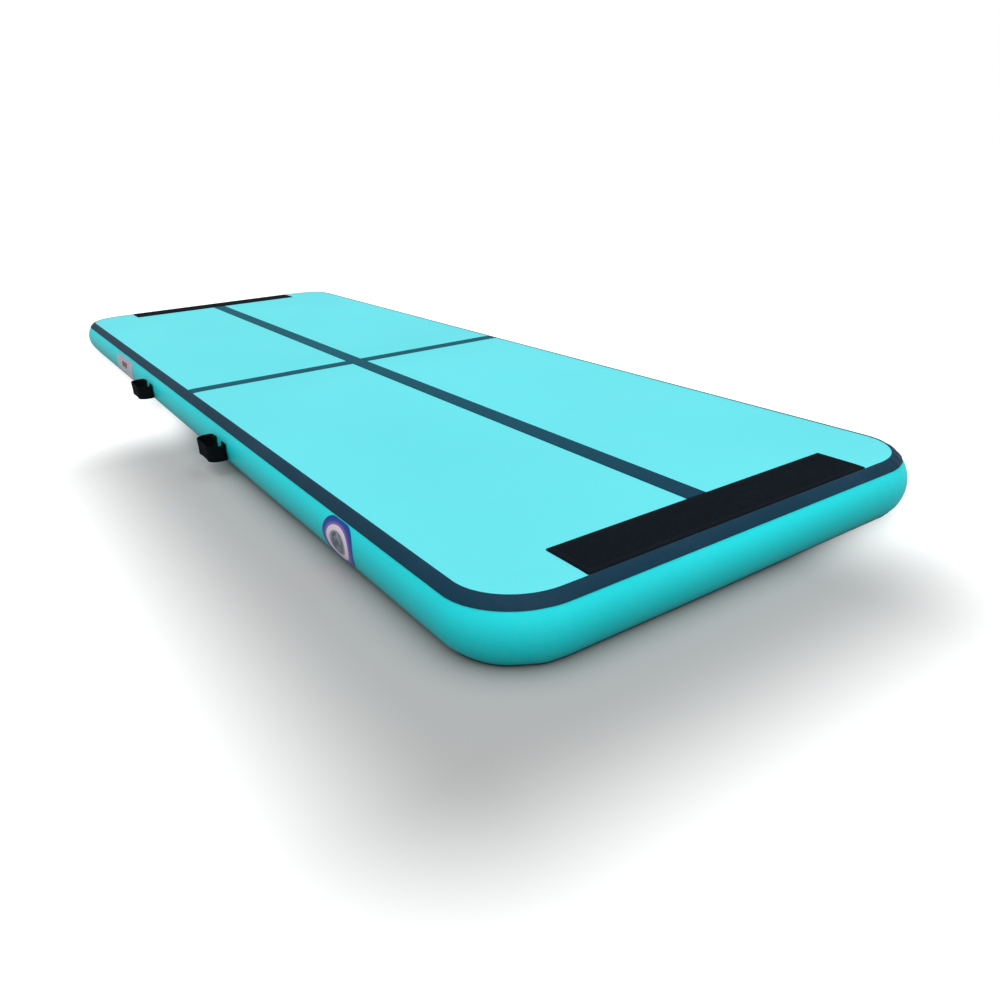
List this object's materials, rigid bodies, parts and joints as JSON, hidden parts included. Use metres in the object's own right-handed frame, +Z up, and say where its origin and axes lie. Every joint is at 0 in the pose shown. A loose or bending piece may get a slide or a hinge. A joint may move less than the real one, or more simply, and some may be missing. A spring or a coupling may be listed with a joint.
{
  "type": "air track mat",
  "caption": "Long inflatable gymnastics mat with parallel drop-stitch skins, taped edges, floor lines, joining panels, carry handles and an inflation valve.",
  "frame": {"origin": "middle of the underside, on the floor", "axes": "+Y along the length to the rear end, +X across to the right, +Z up"},
  "size_m": [1.08, 3, 0.1121],
  "materials": {
    "aqua_pvc": "satin embossed pvc",
    "side_pvc": "semi-gloss coated fabric",
    "navy_tape": "satin pvc tape",
    "grey_pvc": "matt non-slip pvc",
    "base_fabric": "woven polyester",
    "drop_yarn": "spun polyester",
    "hook_and_loop": "loop pile",
    "webbing": "woven webbing",
    "emblem_film": "printed film",
    "label_film": "printed film",
    "valve_plastic": "moulded",
    "valve_rubber": "moulded",
    "spring_steel": "drawn wire"
  },
  "bodies": {
    "mat": {"top_skin": "aqua_pvc", "bottom_skin": "grey_pvc", "top_base_fabric": "base_fabric", "bottom_base_fabric": "base_fabric", "side_wall": "side_pvc", "top_edge_tape": "navy_tape", "bottom_edge_tape": "navy_tape", "inner_top_seam_tape": "side_pvc", "inner_bottom_seam_tape": "side_pvc", "drop_yarn_1": "drop_yarn", "drop_yarn_2": "drop_yarn", "drop_yarn_3": "drop_yarn", "drop_yarn_4": "drop_yarn", "drop_yarn_5": "drop_yarn", "drop_yarn_6": "drop_yarn", "drop_yarn_7": "drop_yarn", "drop_yarn_8": "drop_yarn", "drop_yarn_9": "drop_yarn", "centre_line": "navy_tape", "cross_line_left": "navy_tape", "cross_line_right": "navy_tape", "front_join_panel": "hook_and_loop", "rear_join_panel": "hook_and_loop", "side_emblem": "emblem_film", "side_label": "label_film", "left_front_handle_front_anchor": "webbing", "left_front_handle_rear_anchor": "webbing", "left_rear_handle_front_anchor": "webbing", "left_rear_handle_rear_anchor": "webbing", "right_front_handle_front_anchor": "webbing", "right_front_handle_rear_anchor": "webbing", "right_rear_handle_front_anchor": "webbing", "right_rear_handle_rear_anchor": "webbing", "valve_boot": "side_pvc", "valve_clamp_nut": "valve_plastic", "valve_gasket": "valve_rubber", "valve_body": "valve_plastic", "tether_collar": "valve_rubber"},
    "poppet": {"valve_poppet": "valve_plastic", "poppet_seal": "valve_rubber", "valve_spring": "spring_steel"},
    "tether": {"cap_tether": "valve_rubber"},
    "cap": {"valve_cap": "valve_plastic", "cap_seal": "valve_rubber"},
    "left_front_handle": {"left_front_handle_strap": "webbing"},
    "left_rear_handle": {"left_rear_handle_strap": "webbing"},
    "right_front_handle": {"right_front_handle_strap": "webbing"},
    "right_rear_handle": {"right_rear_handle_strap": "webbing"}
  },
  "joints": [
    {"name": "left_front_handle_tilt", "type": "hinge", "parent": "mat", "child": "left_front_handle", "pos_m": [-0.5, -0.345, 0.055], "axis": [0, -1, 0], "range_deg": [-40, 40]},
    {"name": "left_rear_handle_tilt", "type": "hinge", "parent": "mat", "child": "left_rear_handle", "pos_m": [-0.5, 0.365, 0.055], "axis": [0, -1, 0], "range_deg": [-40, 40]},
    {"name": "right_front_handle_tilt", "type": "hinge", "parent": "mat", "child": "right_front_handle", "pos_m": [0.5, -0.345, 0.055], "axis": [0, 1, 0], "range_deg": [-40, 40]},
    {"name": "right_rear_handle_tilt", "type": "hinge", "parent": "mat", "child": "right_rear_handle", "pos_m": [0.5, 0.365, 0.055], "axis": [0, 1, 0], "range_deg": [-40, 40]},
    {"name": "poppet_push", "type": "slide", "parent": "mat", "child": "poppet", "axis": [-1, 0, 0], "range_m": [0, 0.005], "stiffness_N_per_m": 300, "springref_m": -0.004, "deforming": ["valve_spring"]},
    {"name": "cap_swing", "type": "hinge", "parent": "mat", "child": "tether", "pos_m": [0.507, 1.069, 0.055], "axis": [0, 0, -1], "range_deg": [0, 140]},
    {"name": "cap_turn", "type": "hinge", "parent": "tether", "child": "cap", "pos_m": [0.507, 1.1, 0.055], "axis": [1, 0, 0], "range_deg": [0, 90]}
  ]
}
